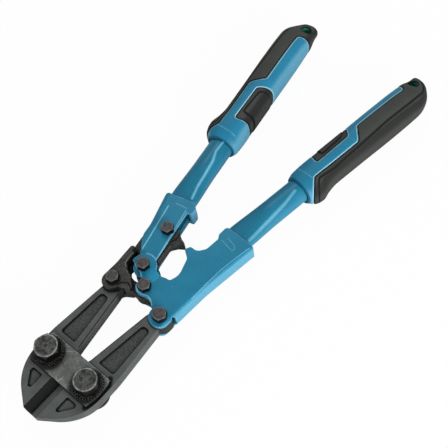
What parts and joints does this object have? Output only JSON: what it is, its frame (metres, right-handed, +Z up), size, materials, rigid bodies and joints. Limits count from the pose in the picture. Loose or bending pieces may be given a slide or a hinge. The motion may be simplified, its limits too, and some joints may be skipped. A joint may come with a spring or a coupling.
{
  "type": "bolt cutters",
  "caption": "Compact hand bolt cutters: two forged blades in jaw plates, toggle lever, folded sheet heads, tube handles with soft grips.",
  "frame": {"origin": "centre of the footprint, on the plane that the tool lies on, handles closed", "axes": "+Y from the jaws to the grips, +Z up out of the front face, +X to the right seen from the front"},
  "size_m": [0.1064, 0.302, 0.0273],
  "materials": {
    "handle_paint": "semi-gloss blue enamel",
    "grip_shell": "satin moulded",
    "grip_rubber": "soft matt",
    "forged_steel": "black oxide on a forged skin",
    "plate_steel": "black oxide, scuffed",
    "bolt_steel": "black oxide",
    "bush_steel": "bare turned steel"
  },
  "bodies": {
    "right_handle": {"right_channel": "handle_paint", "right_tube": "handle_paint", "right_grip_core": "grip_shell", "right_grip_sleeve": "grip_rubber", "right_grip_pad": "grip_rubber", "tail_bolt": "bolt_steel", "lever_pivot_bolt": "bolt_steel", "handle_pivot_bolt": "bolt_steel", "pivot_nuts": "bolt_steel"},
    "left_handle": {"left_channel": "handle_paint", "left_tube": "handle_paint", "left_grip_core": "grip_shell", "left_grip_sleeve": "grip_rubber", "left_grip_pad": "grip_rubber", "handle_pivot_spacer": "bush_steel", "link_bolt": "bolt_steel", "link_nut": "bolt_steel"},
    "lever": {"lever": "forged_steel", "lever_bush": "bush_steel", "fork_bolt": "bolt_steel", "fork_nut": "bolt_steel"},
    "right_blade": {"right_blade": "forged_steel"},
    "left_blade": {"left_blade": "forged_steel"},
    "jaw_plates": {"front_jaw_plate": "plate_steel", "back_jaw_plate": "plate_steel", "jaw_bolts": "bolt_steel", "toothed_washers": "bolt_steel", "back_washers": "bolt_steel", "jaw_nuts": "bolt_steel"}
  },
  "joints": [
    {"name": "handles_open", "type": "hinge", "parent": "right_handle", "child": "left_handle", "pos_m": [-0.00503, -0.05207, 0.0125], "axis": [0, 0, 1], "range_deg": [0, 75]},
    {"name": "lever_turn", "type": "hinge", "parent": "right_handle", "child": "lever", "pos_m": [0.00367, -0.06077, 0.0125], "axis": [0, 0, 1], "range_deg": [0, 51.95]},
    {"name": "right_blade_turn", "type": "hinge", "parent": "right_handle", "child": "right_blade", "pos_m": [0.02237, -0.06847, 0.0125], "axis": [0, 0, 1], "range_deg": [0, 31.11]},
    {"name": "jaw_plates_turn", "type": "hinge", "parent": "right_blade", "child": "jaw_plates", "pos_m": [0.01957, -0.12087, 0.0125], "axis": [0, 0, 1], "range_deg": [-6.79, 0]},
    {"name": "left_blade_turn", "type": "hinge", "parent": "jaw_plates", "child": "left_blade", "pos_m": [-0.01043, -0.12087, 0.0125], "axis": [0, 0, 1], "range_deg": [-4.24, 0]}
  ],
  "couplings": [
    {"joint": "lever_turn", "follows": "handles_open", "ratio": 0.69},
    {"joint": "right_blade_turn", "follows": "handles_open", "ratio": 0.4121},
    {"joint": "jaw_plates_turn", "follows": "handles_open", "ratio": -0.0878},
    {"joint": "left_blade_turn", "follows": "handles_open", "ratio": -0.0539}
  ]
}
